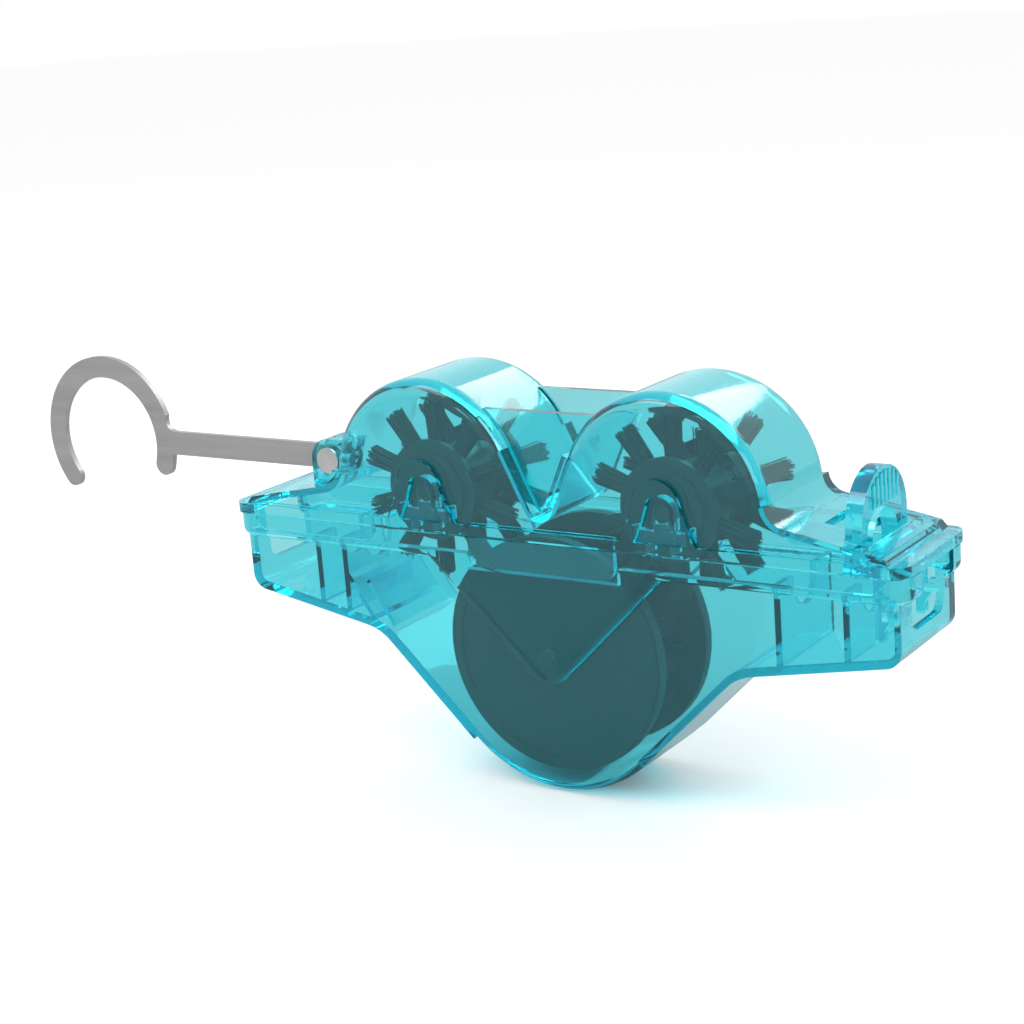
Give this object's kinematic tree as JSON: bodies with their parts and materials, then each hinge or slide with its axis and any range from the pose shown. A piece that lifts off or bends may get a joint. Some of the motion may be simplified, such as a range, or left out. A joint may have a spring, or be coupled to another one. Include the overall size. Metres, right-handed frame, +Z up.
{
  "type": "bicycle chain cleaner",
  "caption": "Clip-on bicycle chain cleaner: a clear tank and hinged lid hold brush wheels and a guide wheel; a steel hook arm steadies it.",
  "frame": {"origin": "middle of the chain way, at the seam between tank and lid", "axes": "+X along the chain to the latch, +Y to the back, +Z up to the lid's humps"},
  "size_m": [0.2467, 0.0342, 0.0964],
  "materials": {
    "clear_aqua": "clear tinted plastic, polished",
    "deep_aqua": "clear tinted plastic, deeper where it is thick",
    "black_plastic": "satin moulded plastic",
    "black_bristle": "nylon strands",
    "steel_sheet": "stamped sheet, satin",
    "bright_steel": "turned and polished"
  },
  "bodies": {
    "tank": {"lower_body": "clear_aqua", "wheel_axle": "black_plastic"},
    "lid": {"lid": "clear_aqua", "hook_rivet": "bright_steel", "rivet_washer": "steel_sheet", "left_axle_keepers": "deep_aqua", "right_axle_keepers": "deep_aqua", "left_brush_axle": "black_plastic", "right_brush_axle": "black_plastic"},
    "latch": {"latch": "deep_aqua"},
    "hook_arm": {"hook_arm": "steel_sheet"},
    "left_brush": {"left_brush_hub": "black_plastic", "left_front_cap": "black_plastic", "left_back_cap": "black_plastic", "left_front_bristles": "black_bristle", "left_back_bristles": "black_bristle"},
    "right_brush": {"right_brush_hub": "black_plastic", "right_front_cap": "black_plastic", "right_back_cap": "black_plastic", "right_front_bristles": "black_bristle", "right_back_bristles": "black_bristle"},
    "guide_wheel": {"wheel_hub": "black_plastic", "wheel_front_disc": "black_plastic", "wheel_back_disc": "black_plastic", "wheel_bristles": "black_bristle"}
  },
  "joints": [
    {"name": "lid_tip", "type": "hinge", "parent": "tank", "child": "lid", "pos_m": [-0.0875, 0, 0.0017], "axis": [0, -1, 0], "range_deg": [0, 70]},
    {"name": "latch_pull", "type": "hinge", "parent": "lid", "child": "latch", "pos_m": [0.078, 0, 0.0012], "axis": [0, 1, 0], "range_deg": [0, 10], "stiffness_Nm_per_rad": 0.02, "springref_deg": -11.46},
    {"name": "hook_swing", "type": "hinge", "parent": "lid", "child": "hook_arm", "pos_m": [-0.0606, -0.0085, 0.0143], "axis": [0, 1, 0], "range_deg": [-15, 100]},
    {"name": "left_brush_spin", "type": "hinge", "parent": "lid", "child": "left_brush", "pos_m": [-0.0316, 0, 0.0088], "axis": [0, 1, 0], "continuous": true},
    {"name": "right_brush_spin", "type": "hinge", "parent": "lid", "child": "right_brush", "pos_m": [0.0316, 0, 0.0088], "axis": [0, 1, 0], "continuous": true},
    {"name": "wheel_spin", "type": "hinge", "parent": "tank", "child": "guide_wheel", "pos_m": [0, 0, -0.0275], "axis": [0, 1, 0], "continuous": true}
  ]
}
